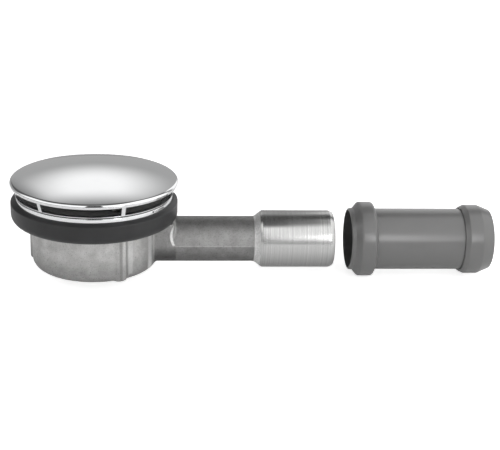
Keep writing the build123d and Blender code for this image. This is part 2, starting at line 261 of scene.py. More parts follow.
def spread(tree, value, low, high, outLow, outHigh):
    # low to high becomes outLow to outHigh, and stays at the nearer end outside that range
    node = tree.nodes.new("ShaderNodeMapRange")
    for key, number in (("From Min", low), ("From Max", high), ("To Min", outLow), ("To Max", outHigh)):
        node.inputs[key].default_value = number
    feed(tree, value, node.inputs["Value"])
    return node.outputs["Result"]


def nearValue(tree, value, middle, half):
    # 1 at the middle value, falling to 0 at half on either side
    away = mathNode(tree, "ABSOLUTE", mathNode(tree, "SUBTRACT", value, middle))
    return spread(tree, away, half / 2, half, 1.0, 0.0)


def paintedShadeByHeight(tree, up, stops):
    # painted shade: grey share of the tone at each height in mm, straight in between
    ramp = tree.nodes.new("ShaderNodeValToRGB")
    points = ramp.color_ramp.elements
    while len(points) < len(stops):
        points.new(0.5)
    low, high = stops[0][0], stops[-1][0]
    for point, (height, share) in zip(points, stops):
        point.position = (height - low) / (high - low)
        point.color = (share, share, share, 1)
    feed(tree, spread(tree, up, low, high, 0.0, 1.0), ramp.inputs[0])
    return ramp.outputs[0]


def splitPlace(tree):
    # how far along the outlet, across it and up, in mm
    scaled = tree.nodes.new("ShaderNodeVectorMath")
    scaled.operation = "SCALE"
    scaled.inputs["Scale"].default_value = 1 / mm
    apart = tree.nodes.new("ShaderNodeSeparateXYZ")
    feed(tree, tree.nodes.new("ShaderNodeTexCoord").outputs["Object"], scaled.inputs[0])
    feed(tree, scaled.outputs[0], apart.inputs[0])
    return tuple(apart.outputs)


def buildGrainGroup():
    # two noises of object position, one broad for colour and one fine for height, and pinpoint specks
    group = bpy.data.node_groups.new("mottleAndGrain", "ShaderNodeTree")
    sockets = group.interface
    sockets.new_socket(name="Vector", in_out="INPUT", socket_type="NodeSocketVector")
    for name in ("Mottle Scale", "Grain Scale"):
        sockets.new_socket(name=name, in_out="INPUT", socket_type="NodeSocketFloat")
    for name in ("Mottle", "Grain", "Specks"):
        sockets.new_socket(name=name, in_out="OUTPUT", socket_type="NodeSocketFloat")
    start = group.nodes.new("NodeGroupInput").outputs
    end = group.nodes.new("NodeGroupOutput").inputs
    feed(group, noiseNode(group, start["Vector"], start["Mottle Scale"], 4.0, 0.6), end["Mottle"])
    feed(group, noiseNode(group, start["Vector"], start["Grain Scale"], 4.0, 0.65), end["Grain"])
    cells = group.nodes.new("ShaderNodeTexVoronoi")
    cells.feature = "F1"
    feed(group, start["Vector"], cells.inputs["Vector"])
    feed(group, start["Grain Scale"], cells.inputs["Scale"])
    feed(group, spread(group, cells.outputs["Distance"], 0.05, 0.45, 1.0, 0.0), end["Specks"])
    return group


grainGroup = buildGrainGroup()


def startMaterial(name, finish):
    material = bpy.data.materials.new(name)
    material.use_nodes = True
    tree = material.node_tree
    shader = tree.nodes["Principled BSDF"]
    shader.inputs["Metallic"].default_value = finish["metallic"]
    texture = tree.nodes.new("ShaderNodeGroup")
    texture.node_tree = grainGroup
    texture.inputs["Mottle Scale"].default_value = finish["mottle"]
    texture.inputs["Grain Scale"].default_value = finish["grain"]
    feed(tree, tree.nodes.new("ShaderNodeTexCoord").outputs["Object"], texture.inputs["Vector"])
    return material, tree, shader.inputs, texture.outputs


def addBump(tree, shaderInputs, height, finish):
    bump = tree.nodes.new("ShaderNodeBump")
    bump.inputs["Strength"].default_value = finish["bump"]
    bump.inputs["Distance"].default_value = finish["depth"]
    feed(tree, height, bump.inputs["Height"])
    feed(tree, bump.outputs["Normal"], shaderInputs["Normal"])


# Materials: mottle and grain are noise scales per metre, depth is in metres and other places are in mm

chromeFinish = {
    "mottle": 45, "grain": 900, "metallic": 1.0, "light": (0.86, 0.865, 0.87), "dark": (0.80, 0.805, 0.81),
    "smoothest": 0.03, "roughest": 0.06,
}


def makeChrome():
    c = chromeFinish
    material, tree, shader, texture = startMaterial("polishedChrome", c)
    feed(tree, mixColour(tree, texture["Mottle"], c["dark"], c["light"]), shader["Base Color"])
    feed(tree, spread(tree, texture["Mottle"], 0.3, 0.7, c["smoothest"], c["roughest"]), shader["Roughness"])
    return material


castFinish = {
    "mottle": 150, "grain": 1300, "metallic": 1.0, "bump": 0.5, "depth": 0.0005, "grainShare": 0.7,
    "light": (0.63, 0.627, 0.62), "dark": (0.48, 0.477, 0.47), "smoothest": 0.38, "roughest": 0.56,
    "patchRange": (0.32, 0.68), "pitRange": (0.55, 0.68), "pitShare": 0.6, "grainRange": (0.35, 0.6),
    # the highlight colour is a painted highlight, laid on the boss ridges, the seam and the neck's end
    "pits": (0.24, 0.238, 0.233), "paintedHighlight": (0.92, 0.92, 0.915), "highlightThrough": 0.75,
    "parting": (0.46, 0.46, 0.455), "partingHalf": 0.5, "partingPatch": (0.1, 0.7, 0.35, 1.0),
    # painted shade: the cup darkens downwards, the neck and pipe are darker, and the pipe darkens at its top
    # and bottom
    "cupPaintedShade": ((3, 0.58), (8, 0.68), (18, 0.98)), "neckFrom": 40.5, "neckTo": 41.5,
    "neckPaintedShade": ((8, 0.2), (12, 0.28), (14.5, 0.4), (17.2, 0.54), (36, 0.57)),
    "pipePaintedShade": ((5, 0.3), (9, 0.4), (16, 0.52), (16.9, 0.54), (17.1, 0.66), (23, 0.64), (29, 0.52)),
    "edgeAlong": 53.1, "edgeHeight": 24.0, "edgeBow": 0.042, "edgeLow": 16.8, "edgeTop": 33.5,
    "edgeSoft": 1.2, "edgeShift": -0.4, "edgeHalf": 1.2, "edgeAside": (10.0, 14.0), "edgeUp": (16.8, 18.0),
    "seamAlong": 38.0, "seamHalf": 1.8, "seamAcross": 19.2, "seamAcrossHalf": 5.0, "seamShare": 0.95,
    "ribTurn": -64.9, "ribFrom": (42.9, 43.2), "ribTop": (33.0, 34.0),
    # the dark marks in pit colour are painted shade in the boss grooves, the bright marks are painted
    # highlights on its ridges
    "ribPaintedShadeAndHighlights": (
        (-64.9, 1.8, 0.6, "pits"), (-58.0, 0.9, 0.3, "pits"),
        (-61.6, 2.2, 0.12, "paintedHighlight"), (-54.3, 3.2, 0.28, "paintedHighlight"),
    ),
    "coneFrom": 110.1, "coneTo": 110.4, "coneShare": 0.95, "coneThrough": 0.5, "coneTone": (0.9, 0.897, 0.89),
}


def pastNeckEnd(tree, along, up):
    # distance past the neck's bowed end: along - (edgeAlong + edgeBow times (height - edgeHeight) squared)
    c = castFinish
    held = mathNode(tree, "MINIMUM", mathNode(tree, "MAXIMUM", up, c["edgeLow"]), c["edgeTop"])
    bowed = mathNode(tree, "SUBTRACT", held, c["edgeHeight"])
    end = mathNode(tree, "MULTIPLY_ADD", product(tree, bowed, bowed), c["edgeBow"], c["edgeAlong"])
    return mathNode(tree, "SUBTRACT", along, end)


def paintBossShadeAndHighlights(tree, tone, along, across, up):
    # painted shade as dark lines in the grooves and painted highlights on the ridges of each boss, outside
    # the cup's round and below the flange; the three bosses stand 120 degrees apart, so the angle is folded
    # to one of them
    c = castFinish
    squares = mathNode(tree, "MULTIPLY_ADD", along, along, product(tree, across, across))
    reach = mathNode(tree, "SQRT", squares)
    onBoss = product(tree, spread(tree, reach, *c["ribFrom"], 0.0, 1.0),
                     spread(tree, up, *c["ribTop"], 1.0, 0.0))
    first = math.radians(c["ribTurn"])
    turn = mathNode(tree, "SUBTRACT", mathNode(tree, "ARCTAN2", across, along), first)
    folded = mathNode(tree, "WRAP", turn, math.pi / 3, -math.pi / 3)
    for degrees, half, share, toneName in c["ribPaintedShadeAndHighlights"]:
        near = nearValue(tree, folded, math.radians(degrees) - first, math.radians(half))
        tone = mixColour(tree, product(tree, near, onBoss, share), tone, c[toneName])
    return tone


def paintedHighlightPlaces(tree, past, along, across, up):
    # painted highlights on the seam between cup and neck and on the neck's curved end
    c = castFinish
    aside = mathNode(tree, "ABSOLUTE", across)
    seam = product(tree, nearValue(tree, along, c["seamAlong"], c["seamHalf"]),
                   nearValue(tree, aside, c["seamAcross"], c["seamAcrossHalf"]), c["seamShare"])
    edge = product(tree, nearValue(tree, past, c["edgeShift"], c["edgeHalf"]),
                   spread(tree, aside, *c["edgeAside"], 0.0, 1.0), spread(tree, up, *c["edgeUp"], 0.0, 1.0))
    return mathNode(tree, "MAXIMUM", seam, edge)


def makeCastMetal():
    # painted shade: the cup darkens downwards; neck and pipe are greyer, darker under the parting line and
    # darker again at the pipe's top; painted highlights on the bosses, the seam and the neck's end; grains
    # and pits break all of it up
    c = castFinish
    material, tree, shader, texture = startMaterial("sandCastMetal", c)
    grain = texture["Grain"]
    along, across, up = splitPlace(tree)
    past = pastNeckEnd(tree, along, up)
    onNeck = spread(tree, along, c["neckFrom"], c["neckTo"], 0.0, 1.0)
    onPipe = spread(tree, past, 0.0, c["edgeSoft"], 0.0, 1.0)
    # painted shade by height for the cup, the neck and the pipe
    cup, neck, pipe = (paintedShadeByHeight(tree, up, c[name]) for name in ("cupPaintedShade", "neckPaintedShade", "pipePaintedShade"))
    paintedShade = mixColour(tree, onPipe, mixColour(tree, onNeck, cup, neck), pipe)
    patch = spread(tree, texture["Mottle"], *c["patchRange"], 0.0, 1.0)
    tone = timesColour(tree, mixColour(tree, patch, c["dark"], c["light"]), paintedShade)
    line = product(tree, nearValue(tree, up, outletAxis, c["partingHalf"]),
                   spread(tree, patch, *c["partingPatch"]), onPipe)
    tone = mixColour(tree, line, tone, c["parting"])
    pits = spread(tree, grain, *c["pitRange"], 0.0, c["pitShare"])
    tone = mixColour(tree, pits, tone, timesColour(tree, paintedShade, c["pits"]))
    tone = paintBossShadeAndHighlights(tree, tone, along, across, up)
    onCone = product(tree, spread(tree, along, c["coneFrom"], c["coneTo"], 0.0, c["coneShare"]),
                     spread(tree, grain, *c["grainRange"], 1.0, c["coneThrough"]))
    tone = mixColour(tree, onCone, tone, c["coneTone"])
    # painted highlights on the seam and the neck's end, broken up by the grain
    paintedHighlight = product(tree, paintedHighlightPlaces(tree, past, along, across, up),
                   spread(tree, grain, *c["grainRange"], 1.0, c["highlightThrough"]))
    feed(tree, mixColour(tree, paintedHighlight, tone, c["paintedHighlight"]), shader["Base Color"])
    feed(tree, spread(tree, grain, 0.3, 0.7, c["smoothest"], c["roughest"]), shader["Roughness"])
    height = mathNode(tree, "MULTIPLY_ADD", grain, c["grainShare"],
                      product(tree, texture["Specks"], 1 - c["grainShare"]))
    addBump(tree, shader, height, c)
    return material


turnedFinish = {
    "mottle": 60, "grain": 1200, "metallic": 1.0, "bump": 0.12, "depth": 0.00005, "linesPerMm": 0.9,
    "light": (0.66, 0.66, 0.655), "dark": (0.47, 0.47, 0.465), "smoothest": 0.17, "roughest": 0.26,
    # painted shade: these stops darken the spigot towards its bottom
    "paintedShade": ((-2, 0.5), (5, 0.66), (10, 0.82), (15, 0.98)), "stainRange": (0.6, 0.75), "stainShare": 0.25,
}


def makeTurnedMetal():
    # fine rings left by the lathe: noise read along the axis only, so it is the same all the way round
    c = turnedFinish
    material, tree, shader, texture = startMaterial("turnedMetal", c)
    along, _, up = splitPlace(tree)
    axisOnly = tree.nodes.new("ShaderNodeCombineXYZ")
    feed(tree, along, axisOnly.inputs[0])
    lines = noiseNode(tree, axisOnly.outputs[0], c["linesPerMm"], 2.0, 0.7)
    tone = mixColour(tree, spread(tree, lines, 0.3, 0.7, 0.0, 1.0), c["dark"], c["light"])
    # painted shade: the spigot darkens towards its bottom
    tone = timesColour(tree, tone, paintedShadeByHeight(tree, up, c["paintedShade"]))
    stain = spread(tree, texture["Mottle"], *c["stainRange"], 0.0, c["stainShare"])
    feed(tree, mixColour(tree, stain, tone, c["dark"]), shader["Base Color"])
    feed(tree, spread(tree, texture["Mottle"], 0.3, 0.7, c["smoothest"], c["roughest"]), shader["Roughness"])
    addBump(tree, shader, lines, c)
    return material


rubberFinish = {
    "mottle": 60, "grain": 1200, "metallic": 0.0, "roughness": 0.4, "specular": 0.46, "bump": 0.15,
    "depth": 0.0003, "light": (0.031, 0.031, 0.032), "dark": (0.01, 0.01, 0.011),
}
greyFinish = {
    "mottle": 40, "grain": 1600, "metallic": 0.0, "roughness": 0.3, "specular": 0.8, "bump": 0.03,
    "depth": 0.0002, "light": (0.146, 0.1455, 0.144), "dark": (0.132, 0.1315, 0.13),
}
blackFinish = {
    "mottle": 80, "grain": 1500, "metallic": 0.0, "roughness": 0.5, "specular": 0.5, "bump": 0.08,
    "depth": 0.0002, "light": (0.03, 0.03, 0.032), "dark": (0.02, 0.02, 0.021),
}
insideFinish = {
    "mottle": 80, "grain": 1500, "metallic": 0.0, "roughness": 0.7, "specular": 0.2, "bump": 0.05,
    "depth": 0.0002, "light": (0.34, 0.34, 0.343), "dark": (0.26, 0.26, 0.263),
}
steelFinish = {
    "mottle": 200, "grain": 3000, "metallic": 1.0, "roughness": 0.32, "specular": 0.5, "bump": 0.1,
    "depth": 0.0001, "light": (0.62, 0.62, 0.6), "dark": (0.5, 0.5, 0.48),
}


def makePlain(name, finish):
    # one colour that wanders a little between dark and light, over a fine grain
    material, tree, shader, texture = startMaterial(name, finish)
    feed(tree, mixColour(tree, texture["Mottle"], finish["dark"], finish["light"]), shader["Base Color"])
    shader["Roughness"].default_value = finish["roughness"]
    shader["Specular IOR Level"].default_value = finish["specular"]
    addBump(tree, shader, texture["Grain"], finish)
    return material


chrome = makeChrome()
castMetal = makeCastMetal()
turnedMetal = makeTurnedMetal()
rubber = makePlain("blackRubber", rubberFinish)
greyPlastic = makePlain("greyPipePlastic", greyFinish)
blackPlastic = makePlain("blackPlastic", blackFinish)
steel = makePlain("screwSteel", steelFinish)
dullInside = makePlain("dullInside", insideFinish)
print("materials made")

nodeMaterials = {
    "trap_body": castMetal, "tray_gasket": rubber, "flange_ring": chrome, "cover_cage": chrome,
    "dome_cover": chrome, "cover_screw": steel, "dip_tube": blackPlastic, "dip_tube_oring": rubber,
    "hair_strainer": blackPlastic, "pipe_coupling": greyPlastic, "coupling_cap": greyPlastic,
    "inlet_lip_seal": rubber, "outlet_lip_seal": rubber,
    "clamp_screw_1": steel, "clamp_screw_2": steel, "clamp_screw_3": steel,
}
for nodeName, nodeMaterial in nodeMaterials.items():
    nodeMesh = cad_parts[nodeName].data
    nodeMesh.materials.clear()
    nodeMesh.materials.append(nodeMaterial)


# Domed cover

dome = {
    "radius": 57.3, "outerInset": 0.12, "rim": 60.5, "edge": 0.5, "rise": 7.4, "rollStart": 55.66,
    "roll": 2.12, "rollLead": 0.2, "rollSteps": 12, "wall": 2.0, "land": 2.3, "underLift": 0.1,
    "bossRadius": 5.5, "holeRadius": 2.05, "holeTop": 64.9, "ribInner": 14.0, "ribOuter": 50.0,
    "ribWidth": 1.6, "ribSink": 0.1, "ribEnd": 1.6, "ribCount": 6, "ribTurn": -37.5, "segments": 320,
    "steps": 72, "polishedFrom": 56.5, "upward": 0.05,
}


def ballRadius(radius, rise):
    # the ball whose cap has this foot radius and rise
    return (radius**2 + rise**2) / (2 * rise)


def domeArc(radius, rise, foot, inner):
    # height of a ball's cap: foot + rise - (ball - root(ball squared - r squared)), from inner outwards
    ball = ballRadius(radius, rise)
    r = radius * np.sin(np.linspace(0, math.pi / 2, dome["steps"]))
    r = np.append(inner, r[r > inner])
    return np.stack([r, foot + rise - ball + np.sqrt(ball**2 - r**2)], 1)


def rimRoll(top, bottom, steps):
    # arc that carries on from the dome's outside at rollStart without a kink; it runs from there, or from the
    # height top, down to the height bottom, or to where it is widest
    d = dome
    rise = d["rise"] - d["edge"]
    ball = ballRadius(d["radius"] - d["outerInset"], rise)
    lean = math.asin(d["rollStart"] / ball)
    startHeight = d["rim"] + d["edge"] + rise - ball + ball * math.cos(lean)
    middleRadius = d["rollStart"] - d["roll"] * math.sin(lean)
    middleHeight = startHeight - d["roll"] * math.cos(lean)
    first = math.pi / 2 - lean if top is None else math.asin((top - middleHeight) / d["roll"])
    last = 0.0 if bottom is None else math.asin((bottom - middleHeight) / d["roll"])
    angle = np.linspace(first, last, steps)
    return np.stack([middleRadius + d["roll"] * np.cos(angle), middleHeight + d["roll"] * np.sin(angle)], 1)


def domeUnderside(middle, normal):
    # everything within the rim that doesn't face upwards
    return (normal[:, 2] < dome["upward"]) & (reachOf(middle) < dome["polishedFrom"])


def buildDome():
    d = dome
    rim, inner, foot = d["rim"], d["radius"] - d["land"], d["rim"] + d["underLift"]
    top = domeArc(d["radius"] - d["outerInset"], d["rise"] - d["edge"], rim + d["edge"], 0)
    top = top[top[:, 0] < d["rollStart"] - d["rollLead"]]
    under = domeArc(inner, d["rise"] - d["wall"], foot, d["bossRadius"])
    profile = np.vstack([
        top, rimRoll(None, rim, d["rollSteps"]), (inner, rim), under[::-1], (d["bossRadius"], rim),
        (d["holeRadius"], rim), (d["holeRadius"], d["holeTop"]), (0, d["holeTop"]),
    ])
    parts = [turnedGrid(profile, d["segments"], "upright")]
    crown = rim + d["rise"] - d["wall"]
    lower = ((d["ribInner"], foot), (d["ribOuter"], foot))
    upper = ((d["ribInner"], crown - d["ribSink"]), (d["ribOuter"], rim + d["ribEnd"]))
    for index in range(d["ribCount"]):
        parts.append(radialBar(d["ribWidth"], lower, upper, d["ribTurn"] + 360 / d["ribCount"] * index))
    mesh = meshFromArrays("coverDome", *joinParts(parts))
    finishMesh(mesh)
    addPiece("coverDome", mesh, chrome, ["dome_cover"])
    dullFaces(mesh, domeUnderside)


buildDome()
print("dome made")


# Cage under the cover: base ring, posts, skirt and the three-armed spider

cage = {
    "baseRadius": 53.4, "baseTopRadius": 54.06, "baseInner": 50.2, "baseLow": 50.2, "baseTop": 51.7,
    "skirtLow": 57.9, "skirtTop": 60.5, "skirtRadius": 56.8, "skirtTopRadius": 57.1, "skirtWall": 2.2,
    "round": 0.25, "rollSteps": 10, "postWidth": 2.7, "postTurn": -67.5, "postCount": 6, "postSink": 0.2,
    "postFoot": (50.3, 54.2), "postHead": (53.9, 56.2), "armWidth": 7.0, "armLow": 58.5,
    "armSpan": (5.0, 55.7), "armCount": 3, "hubRadius": 8.5, "hubHole": 2.1, "hubSegments": 64,
    "pegRadius": 1.5, "pegLow": 48.6, "pegLength": 2.79, "pegOrbit": 51.8, "pegSegments": 24,
    "segments": 288, "spiderReach": 55.2, "underFrom": 57.0, "facing": 0.5,
}


def buildCage():
    c = cage
    base = roundedProfile([
        (c["baseRadius"], c["baseLow"], crispEdge), (c["baseTopRadius"], c["baseTop"], brokenEdge),
        (c["baseInner"], c["baseTop"], brokenEdge), (c["baseInner"], c["baseLow"], crispEdge),
    ])
    skirtInside = roundedProfile([
        (c["skirtRadius"], c["skirtLow"], c["round"]),
        (c["skirtRadius"] - c["skirtWall"], c["skirtLow"], c["round"]),
        (c["skirtTopRadius"] - c["skirtWall"], c["skirtTop"], crispEdge), (c["skirtRadius"], c["skirtTop"]),
    ])[:-1]
    skirt = np.vstack([rimRoll(c["skirtTop"], None, c["rollSteps"]), skirtInside])
    hub = roundedProfile([
        (c["hubHole"], c["armLow"]), (c["hubRadius"], c["armLow"], brokenEdge),
        (c["hubRadius"], c["skirtTop"], brokenEdge), (c["hubHole"], c["skirtTop"]),
    ])
    parts = [turnedGrid(part, c["segments"], "upright") for part in (base, skirt)]
    parts.append(turnedGrid(hub, c["hubSegments"], "upright"))
    foot = [(radius, c["baseTop"] - c["postSink"]) for radius in c["postFoot"]]
    head = [(radius, c["skirtLow"] + c["postSink"]) for radius in c["postHead"]]
    for index in range(c["postCount"]):
        parts.append(radialBar(c["postWidth"], foot, head, c["postTurn"] + 360 / c["postCount"] * index))
    under = [(radius, c["armLow"]) for radius in c["armSpan"]]
    over = [(radius, c["skirtTop"]) for radius in c["armSpan"]]
    peg = np.array([(0, 0), (1, 0), (1, 1), (0, 1)]) * (c["pegRadius"], c["pegLength"]) + (0, c["pegLow"])
    for index in range(c["armCount"]):
        turn = c["postTurn"] + 360 / c["armCount"] * index
        parts.append(radialBar(c["armWidth"], under, over, turn))
        points, faces = turnedGrid(peg, c["pegSegments"], "upright")
        parts.append((turnAbout(points + (c["pegOrbit"], 0, 0), turn), faces))
    mesh = meshFromArrays("coverCage", *joinParts(parts))
    finishMesh(mesh)
    addPiece("coverCage", mesh, chrome, ["cover_cage"])
    dullFaces(mesh, cageInside)


def cageInside(middle, normal):
    # everything that faces the middle, and all of the spider and the underside of the skirt
    reach = reachOf(middle)
    outward = (middle[:, 0] * normal[:, 0] + middle[:, 1] * normal[:, 1]) / np.maximum(reach, 0.01)
    spider = (middle[:, 2] > cage["skirtLow"]) & (reach < cage["spiderReach"])
    under = (middle[:, 2] > cage["underFrom"]) & (normal[:, 2] < -cage["facing"])
    return (outward < -cage["facing"]) | spider | under


buildCage()
print("cage made")


# Flange ring with its countersunk holes

flange = {
    "bore": 34.7, "hubLow": 44.6, "hub": 44.3, "hubTop": 47.5, "radius": 53.6, "taper": 0.1, "top": 50.2,
    "round": 0.5, "screwOrbit": 39.4, "screwTurn": -63.9, "screwHole": 2.5, "sinkRadius": 4.4,
    "sinkLow": 46.9, "sinkHigh": 49.7, "pegHole": 1.6, "pegLow": 48.5, "holeCount": 3, "holeSegments": 48,
    "cutPast": 1.0, "segments": 288,
}


def cutHoles(piece, name, profile, orbit, turn):
    # a ring of turned cutters, each standing at that orbit, taken out of the piece
    parts = []
    for index in range(flange["holeCount"]):
        points, faces = turnedGrid(profile, flange["holeSegments"], "upright")
        parts.append((turnAbout(points + (orbit, 0, 0), turn + 360 / flange["holeCount"] * index), faces))
    mesh = meshFromArrays(name, *joinParts(parts))
    finishMesh(mesh)
    cut = piece.modifiers.new(name, "BOOLEAN")
    cut.operation = "DIFFERENCE"
    cut.solver = "EXACT"
    cut.object = placeObject(name, mesh)
    return cut.object


def flangeTop(middle, normal):
    # what lies inside the cage's base ring, and the upper part of the screw holes
    return (reachOf(middle) < cage["baseInner"]) & (middle[:, 2] > flange["sinkLow"])


def buildFlangeRing():
    f = flange
    below, above = f["hubLow"] - 2 * f["cutPast"], f["top"] + f["cutPast"]
    ring = roundedProfile([
        (f["bore"], f["hubLow"], f["round"]), (f["hub"], f["hubLow"], f["round"]), (f["hub"], f["hubTop"]),
        (f["radius"], f["hubTop"], brokenEdge), (f["radius"] - f["taper"], f["top"], f["round"]),
        (f["bore"], f["top"], f["round"]),
    ])
    piece = addTurned("flangeRing", ring, f["segments"], "upright", chrome, "flange_ring")
    sink = np.array([
        (0, below), (f["screwHole"], below), (f["screwHole"], f["sinkLow"]), (f["sinkRadius"], f["sinkHigh"]),
        (f["sinkRadius"], above), (0, above),
    ])
    peg = np.array([(0, f["pegLow"]), (f["pegHole"], f["pegLow"]), (f["pegHole"], above), (0, above)])
    cutters = [cutHoles(piece, "sinkCutter", sink, f["screwOrbit"], f["screwTurn"]),
               cutHoles(piece, "pegCutter", peg, cage["pegOrbit"], cage["postTurn"])]
    bakeModifiers(piece)
    for cutter in cutters:
        bpy.data.objects.remove(cutter)
    piece.data.set_sharp_from_angle(angle=math.radians(sharpAngle))
    dullFaces(piece.data, flangeTop)


buildFlangeRing()
print("flange ring made")


# Tray gasket

gasket = {
    "lip": 50.9, "radius": 57.1, "low": 32.9, "shoulder": 45.9, "top": 47.5, "bevel": 2.9, "lowRound": 5.0,
    "edge": 0.5, "shoulderRound": 0.8, "bore": 44.6, "bodyTop": 43.3, "bodyRadius": 54.3, "bodyLow": 36.0,
    "segments": 288, "sharpDegrees": 40,
}


def buildGasket():
    g = gasket
    profile = roundedProfile([
        (g["lip"], g["low"], g["edge"]), (g["radius"], g["low"], g["lowRound"]),
        (g["radius"], g["shoulder"], g["shoulderRound"]), (g["radius"] - g["bevel"], g["top"], g["edge"]),
        (g["bore"], g["top"]), (g["bore"], g["bodyTop"]), (g["bodyRadius"], g["bodyTop"]),
        (g["bodyRadius"], g["bodyLow"]), (g["lip"], g["bodyLow"]),
    ], fineArc)
    addTurned("trayGasket", profile, g["segments"], "upright", rubber, "tray_gasket",
              g["sharpDegrees"])


buildGasket()
print("gasket made")


# Cast body: the casting remeshed soft, and the bright turned spigot

cast = {"cutAt": 115.9, "voxel": 0.85, "smoothing": 2, "smoothShare": 0.5}
spigot = {
    "start": 114.4, "pipeRadius": 15.8, "coneStart": 110.4, "coneEnd": 116.0, "radius": 20.0, "end": 166.0,
    "noseLength": 2.6, "nose": 1.4, "edge": 0.5, "bore": 17.2, "boreConeEnd": 121.6, "pipeBore": 12.8,
    "cover": 0.05, "segments": 256,
}


def buildCasting():
    # the casting up to the cone, closed there, then remeshed so that its inner corners blend
    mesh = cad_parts["trap_body"].data.copy()
    mesh.name = "castBody"
    work = bmesh.new()
    work.from_mesh(mesh)
    bmesh.ops.remove_doubles(work, verts=work.verts, dist=mergeDistance)
    everything = list(work.verts) + list(work.edges) + list(work.faces)
    cut = bmesh.ops.bisect_plane(work, geom=everything, plane_co=(cast["cutAt"] * mm, 0, 0),
                                 plane_no=(1, 0, 0), clear_outer=True)
    rim = [edge for edge in cut["geom_cut"] if isinstance(edge, bmesh.types.BMEdge)]
    bmesh.ops.triangle_fill(work, use_beauty=True, use_dissolve=False, edges=rim)
    bmesh.ops.recalc_face_normals(work, faces=work.faces)
    work.to_mesh(mesh)
    work.free()
    piece = addPiece("castBody", mesh, castMetal, ["trap_body"])
    remesh = piece.modifiers.new("remesh", "REMESH")
    remesh.mode = "VOXEL"
    remesh.voxel_size = cast["voxel"] * mm
    smooth = piece.modifiers.new("smooth", "SMOOTH")
    smooth.factor = cast["smoothShare"]
    smooth.iterations = cast["smoothing"]
    bakeModifiers(piece)
    piece.data.shade_smooth()
    return piece


def buildSpigot():
    # it starts inside the cone, a little proud of the casting both outside and in
    s = spigot
    outerSlope = (s["radius"] - s["pipeRadius"]) / (s["coneEnd"] - s["coneStart"])
    innerSlope = (s["bore"] - s["pipeBore"]) / (s["boreConeEnd"] - s["coneStart"])
    outerStart = s["pipeRadius"] + outerSlope * (s["start"] - s["coneStart"]) + s["cover"]
    innerStart = s["pipeBore"] + innerSlope * (s["start"] - s["coneStart"]) - s["cover"]
    profile = roundedProfile([
        (s["start"], innerStart), (s["start"], outerStart), (s["coneEnd"], s["radius"], s["edge"]),
        (s["end"] - s["noseLength"], s["radius"], s["noseLength"]),
        (s["end"], s["radius"] - s["nose"], s["edge"]), (s["end"], s["bore"], brokenEdge),
        (s["boreConeEnd"], s["bore"]),
    ], fineArc)
    addTurned("turnedSpigot", profile, s["segments"], "outlet", turnedMetal, "trap_body")


castBody = buildCasting()
buildSpigot()
print("cast body made with", len(castBody.data.polygons), "faces")


# Push-fit coupling and its snap cap

coupling = {
    "start": 177.4, "bore": 20.15, "radius": 21.45, "lip": 21.8, "lipDraft": 0.2, "lipLength": 3.0,
    "lipRound": 1.0, "bead": 26.1, "beadStart": 6.6, "beadEnd": 16.6, "beadRound": 2.2, "shoulder": 1.4,
    "shoulderRound": 0.8, "grooveRadius": 23.9, "grooveStart": 6.4, "grooveEnd": 14.0, "grooveRound": 0.6,
    "stopRadius": 18.4, "stopStart": 225.9, "stopEnd": 228.9, "sleeveEnd": 267.6, "segments": 256,
}
cap = {
    "start": 256.8, "end": 277.4, "inner": 21.8, "frontEdge": 0.9, "front": 3.2, "frontRound": 1.8,
    "radius": 24.3, "nose": 8.2, "noseRound": 3.0, "noseRadius": 21.4, "noseLength": 1.2, "noseStep": 0.5,
    "noseEdge": 0.8, "endWall": 2.4, "segments": 256,
}


def buildCoupling():
    c = coupling
    start, bore = c["start"], c["bore"]
    profile = roundedProfile([
        (start, bore), (start, c["lip"] - c["lipDraft"], c["lipRound"]),
        (start + c["lipLength"], c["lip"], c["lipRound"]),
        (start + c["beadStart"], c["bead"], c["beadRound"]),
        (start + c["beadEnd"], c["bead"], c["beadRound"]),
        (start + c["beadEnd"] + c["shoulder"], c["radius"], c["shoulderRound"]),
        (c["sleeveEnd"], c["radius"], brokenEdge), (c["sleeveEnd"], bore), (c["stopEnd"], bore),
        (c["stopEnd"], c["stopRadius"], brokenEdge), (c["stopStart"], c["stopRadius"], brokenEdge),
        (c["stopStart"], bore), (start + c["grooveEnd"], bore),
        (start + c["grooveEnd"], c["grooveRadius"], c["grooveRound"]),
        (start + c["grooveStart"], c["grooveRadius"], c["grooveRound"]), (start + c["grooveStart"], bore),
    ], fineArc)
    addTurned("pipeCoupling", profile, c["segments"], "outlet", greyPlastic, "pipe_coupling")


def buildCap():
    c = cap
    innerEnd = c["end"] - c["endWall"]
    profile = roundedProfile([
        (c["start"], c["inner"]), (c["start"], c["inner"] + c["frontEdge"], brokenEdge),
        (c["start"] + c["front"], c["radius"], c["frontRound"]),
        (c["end"] - c["nose"], c["radius"], c["noseRound"]),
        (c["end"] - c["noseLength"], c["noseRadius"], c["noseEdge"]),
        (c["end"], c["noseRadius"] - c["noseStep"], brokenEdge), (c["end"], coupling["bore"]),
        (innerEnd, coupling["bore"]), (innerEnd, c["inner"]),
    ], fineArc)
    addTurned("couplingCap", profile, c["segments"], "outlet", greyPlastic, "coupling_cap")


buildCoupling()
buildCap()
print("coupling made")


# Camera and studio

cameraView = {
    "place": (39.25, -769.2, 312.8), "heading": 4.32, "pitch": 20.33, "roll": 1.65, "sensor": 36.0,
    "focalPixels": 1176.0, "imageWidth": 500.0, "axisColumn": 235.0,
}


def placeCamera(view):
    data = bpy.data.cameras.new("photoCamera")
    data.sensor_width = view["sensor"]
    data.lens = view["focalPixels"] / view["imageWidth"] * view["sensor"]
    data.shift_x = 0.5 - view["axisColumn"] / view["imageWidth"]
    data.clip_start = 0.01
    camera = placeObject("photoCamera", data)
    turn = Matrix.Rotation(math.radians(-view["heading"]), 4, "Z")
    tip = Matrix.Rotation(math.radians(90 - view["pitch"]), 4, "X")
    roll = Matrix.Rotation(math.radians(view["roll"]), 4, "Z")
    move = Matrix.Translation([c * mm for c in view["place"]])
    camera.matrix_world = move @ turn @ tip @ roll
    bpy.context.scene.camera = camera


placeCamera(cameraView)

